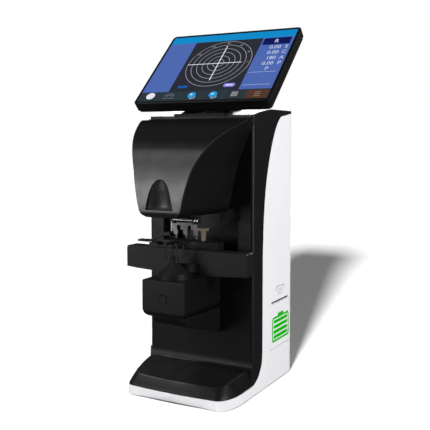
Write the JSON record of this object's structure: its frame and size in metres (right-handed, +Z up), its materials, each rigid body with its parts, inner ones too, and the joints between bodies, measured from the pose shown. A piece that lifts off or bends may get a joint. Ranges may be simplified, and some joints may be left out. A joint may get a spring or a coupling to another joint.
{
  "type": "lensmeter",
  "caption": "Bench lensmeter with a tilting touch screen, measuring head, lens table, marking unit, lens holder and built-in paper printer.",
  "frame": {"origin": "on the table top, under the centre of the instrument's plan", "axes": "+Z up, -Y towards the operator, +X to the operator's right"},
  "size_m": [0.2184, 0.2486, 0.5213],
  "materials": {
    "white_shell": "light gloss, fine grain",
    "panel_grey": "fine grain",
    "black_moulding": "satin, fine grain",
    "head_skin": "satin paint",
    "dark_recess": "matt",
    "rubber": "matt",
    "steel": "ground",
    "steel_dark": "satin black",
    "grey_metal": "bead blasted",
    "brass": "turned",
    "glass": "polished",
    "mirror": "polished",
    "screen_glass": "polished",
    "display": "lit display",
    "board": "solder mask",
    "tab": "satin",
    "pen": "satin",
    "badge": "printed",
    "paper": "smooth paper"
  },
  "bodies": {
    "housing": {"base_plate": "steel", "feet": "rubber", "shell_left": "white_shell", "shell_right": "white_shell", "rear_panel": "panel_grey", "base_tray": "black_moulding", "front_fascia": "black_moulding", "bay_liner": "dark_recess", "head_cover": "head_skin", "head_housing": "black_moulding", "chin_recess": "dark_recess", "screen_neck": "black_moulding", "nose_housing": "black_moulding", "nose_bracket": "black_moulding", "nose_stage": "steel_dark", "lens_stop": "dark_recess", "head_window": "glass", "lamp_unit": "grey_metal", "condenser_lens": "glass", "collimator_lens": "glass", "fold_mirror": "mirror", "image_sensor": "board", "main_board": "board", "power_supply": "steel", "power_inlet": "dark_recess", "switch_body": "dark_recess", "data_ports": "steel", "rod_bushes": "brass", "marker_rails": "steel", "holder_bush": "brass", "ink_box": "black_moulding", "printer_unit": "black_moulding", "door_pins": "steel", "housing_screws": "steel"},
    "screen": {"screen_frame": "black_moulding", "screen_glass": "screen_glass", "lcd_panel": "display", "screen_back": "black_moulding", "screen_bracket": "steel_dark"},
    "lens_table": {"table_bar": "steel_dark", "table_carriage": "steel_dark", "table_rods": "steel"},
    "pd_scale": {"pd_slider": "black_moulding"},
    "lens_holder": {"holder_fork": "steel_dark", "holder_shaft": "steel", "holder_pins": "rubber", "holder_spring": "steel", "holder_lever": "black_moulding"},
    "marker_slide": {"marker_carriage": "steel_dark", "marker_knob": "steel"},
    "marker_head": {"marker_block": "grey_metal", "marker_pens": "pen", "marker_tab": "tab"},
    "button": {"read_button": "rubber"},
    "rocker": {"power_rocker": "dark_recess"},
    "door": {"printer_door": "white_shell", "battery_badge": "badge"},
    "platen": {"platen_roller": "rubber"},
    "roll": {"paper_roll": "paper"}
  },
  "joints": [
    {"name": "screen_tilt", "type": "hinge", "parent": "housing", "child": "screen", "pos_m": [0, 0.008, 0.402], "axis": [-1, 0, 0], "range_deg": [0, 30]},
    {"name": "table_slide", "type": "slide", "parent": "housing", "child": "lens_table", "axis": [0, 1, 0], "range_m": [-0.014, 0.016]},
    {"name": "pd_slide", "type": "slide", "parent": "lens_table", "child": "pd_scale", "axis": [1, 0, 0], "range_m": [-0.034, 0.114]},
    {"name": "holder_lift", "type": "slide", "parent": "housing", "child": "lens_holder", "axis": [0, 0, 1], "range_m": [0, 0.014], "stiffness_N_per_m": 120, "springref_m": -0.004, "deforming": ["holder_spring"]},
    {"name": "marker_slide_y", "type": "slide", "parent": "housing", "child": "marker_slide", "axis": [0, 1, 0], "range_m": [-0.031, 0]},
    {"name": "marker_press", "type": "slide", "parent": "marker_slide", "child": "marker_head", "axis": [0, 0, 1], "range_m": [-0.018, 0], "stiffness_N_per_m": 120, "springref_m": 0.012},
    {"name": "read_press", "type": "slide", "parent": "housing", "child": "button", "axis": [0, 1, 0], "range_m": [0, 0.0008], "stiffness_N_per_m": 600, "springref_m": -0.0002},
    {"name": "rocker_tip", "type": "hinge", "parent": "housing", "child": "rocker", "pos_m": [-0.05, 0.11725, 0.034], "axis": [1, 0, 0], "range_deg": [-12, 0]},
    {"name": "door_open", "type": "hinge", "parent": "housing", "child": "door", "pos_m": [0.083, 0.0745, 0.05255], "axis": [0, 1, 0], "range_deg": [0, 85]},
    {"name": "platen_turn", "type": "hinge", "parent": "door", "child": "platen", "pos_m": [0.076, 0.0745, 0.1105], "axis": [0, 1, 0], "continuous": true},
    {"name": "roll_turn", "type": "hinge", "parent": "housing", "child": "roll", "pos_m": [0.056, 0.0745, 0.084], "axis": [0, 1, 0], "continuous": true}
  ]
}
